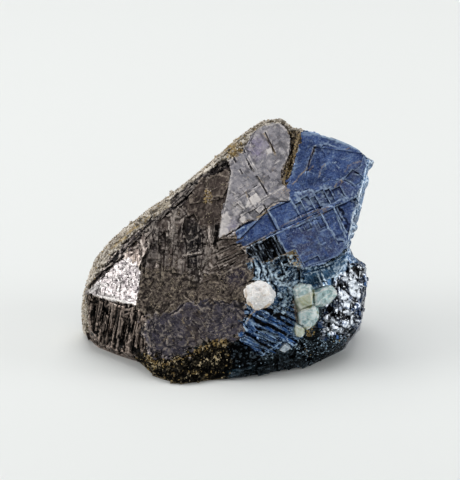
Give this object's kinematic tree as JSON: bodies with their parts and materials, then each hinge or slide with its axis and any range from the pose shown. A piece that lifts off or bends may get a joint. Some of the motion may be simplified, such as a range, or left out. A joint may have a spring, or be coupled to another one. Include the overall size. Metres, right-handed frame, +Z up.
{
  "type": "galena specimen",
  "caption": "Broken hand specimen of galena with stepped, striated cleavage faces, a flat underside, a rough crumbly toe, a round white calcite grain and pale green fluorite.",
  "frame": {"origin": "on the flat underside, at the middle of the specimen's width and 1 mm in front of the middle of its depth", "axes": "+Z up from the flat underside, +X to the right along the specimen's width, -Y towards the crystal faces"},
  "size_m": [0.0892, 0.0627, 0.0672],
  "materials": {
    "galena": "satin",
    "calcite": "satin",
    "fluorite": "gloss",
    "chip": "satin"
  },
  "bodies": {
    "root": {"galena_mass": "galena", "white_calcite": "calcite", "pale_green_fluorite": "fluorite", "pale_chip": "chip"}
  },
  "joints": []
}
